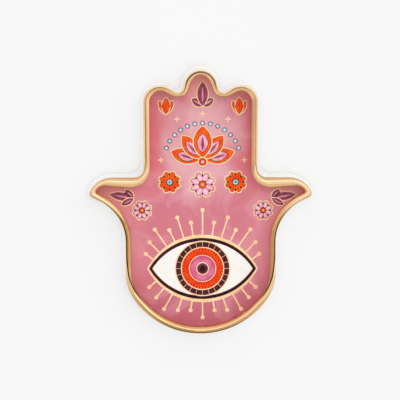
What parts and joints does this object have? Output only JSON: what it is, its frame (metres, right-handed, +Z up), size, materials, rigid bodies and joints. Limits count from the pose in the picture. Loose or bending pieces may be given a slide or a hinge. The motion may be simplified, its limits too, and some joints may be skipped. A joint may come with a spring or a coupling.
{
  "type": "hamsa trinket dish",
  "caption": "Shallow glazed porcelain dish in the outline of a hamsa hand, with a gold rim and an eye printed in the palm.",
  "frame": {"origin": "middle of the foot's outline, on the surface that the dish stands on", "axes": "+Z up out of the dish, +Y towards the fingers, +X across the hand towards its right thumb seen from above"},
  "size_m": [0.1144, 0.1358, 0.016],
  "materials": {
    "porcelain": "clear glossy glaze over white porcelain",
    "rim_gold": "bright gold lustre, polished",
    "rose_enamel": "rose transfer enamel, softly mottled, glossy",
    "cream_gold_enamel": "pale gold transfer enamel, glossy",
    "dark_enamel": "dark brown transfer enamel, glossy",
    "white_enamel": "white transfer enamel, glossy",
    "orange_enamel": "orange transfer enamel, glossy",
    "pink_enamel": "pink transfer enamel, glossy",
    "mauve_enamel": "deep rose transfer enamel, glossy",
    "blue_enamel": "pale blue transfer enamel, glossy"
  },
  "bodies": {
    "root": {"porcelain_dish": "porcelain", "gold_rim": "rim_gold", "rose_ground": "rose_enamel", "eye_gold_border": "cream_gold_enamel", "eye_lid_line": "dark_enamel", "eye_white": "white_enamel", "iris_gold_edge": "cream_gold_enamel", "iris_dark_ring": "dark_enamel", "iris_gold_band": "cream_gold_enamel", "iris_orange_ring": "orange_enamel", "iris_gold_line": "cream_gold_enamel", "iris_pink_ring": "mauve_enamel", "pupil_gold_rim": "cream_gold_enamel", "pupil": "dark_enamel", "rays_upper": "cream_gold_enamel", "rays_lower": "cream_gold_enamel", "lotus_petals": "orange_enamel", "lotus_heart": "pink_enamel", "lotus_cup": "dark_enamel", "bead_garland": "blue_enamel", "rosettes_orange": "orange_enamel", "rosettes_pink": "pink_enamel", "rosette_hubs": "dark_enamel", "thumb_sprigs": "mauve_enamel", "finger_tulips": "orange_enamel", "finger_bud": "mauve_enamel", "gold_stars": "cream_gold_enamel"}
  },
  "joints": []
}
